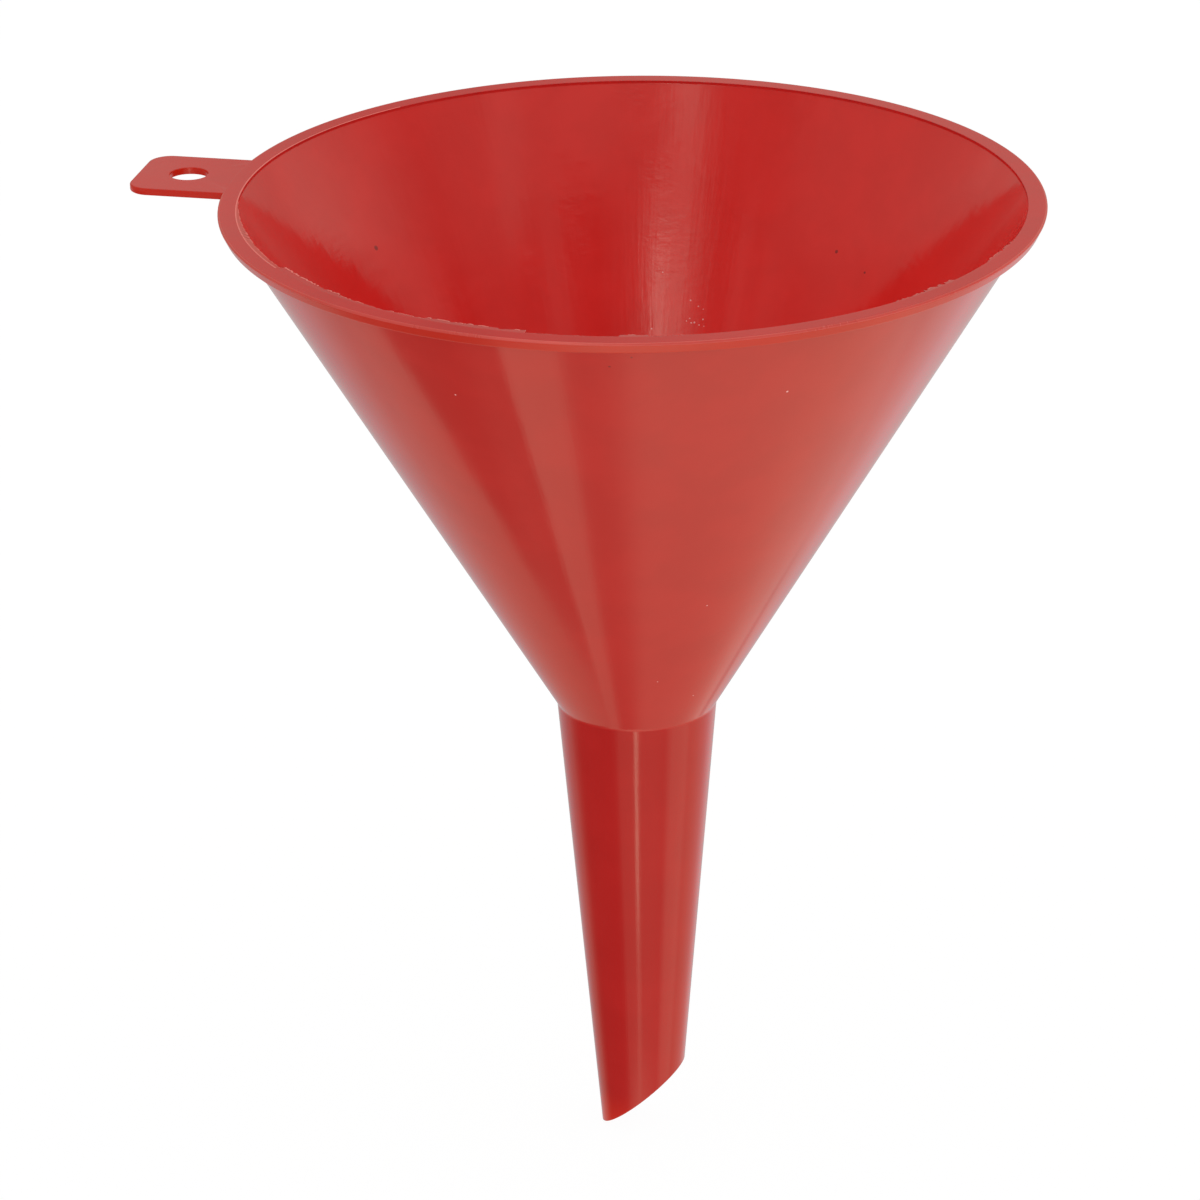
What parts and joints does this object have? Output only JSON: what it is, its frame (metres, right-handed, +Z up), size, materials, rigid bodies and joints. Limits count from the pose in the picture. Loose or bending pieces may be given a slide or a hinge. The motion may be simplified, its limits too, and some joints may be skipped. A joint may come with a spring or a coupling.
{
  "type": "funnel",
  "caption": "Red plastic filling funnel: wide conical bowl with a flat rim, tapered spout cut at a slant, and a flat hanging tab with a round hole.",
  "frame": {"origin": "on the funnel's axis at the neck, the circle where the outside of the bowl would meet the outside of the spout if the throat were not rounded", "axes": "+Z up along the axis towards the mouth; -X towards the hanging tab, which is also the side on which the slanted tip is lowest; +Y completes the right-handed set"},
  "size_m": [0.207, 0.185, 0.2339],
  "materials": {
    "red_plastic": "as-moulded gloss, with faint handling scratches"
  },
  "bodies": {
    "root": {"rim_flange": "red_plastic", "bowl": "red_plastic", "throat": "red_plastic", "spout": "red_plastic", "hang_tab": "red_plastic"}
  },
  "joints": []
}
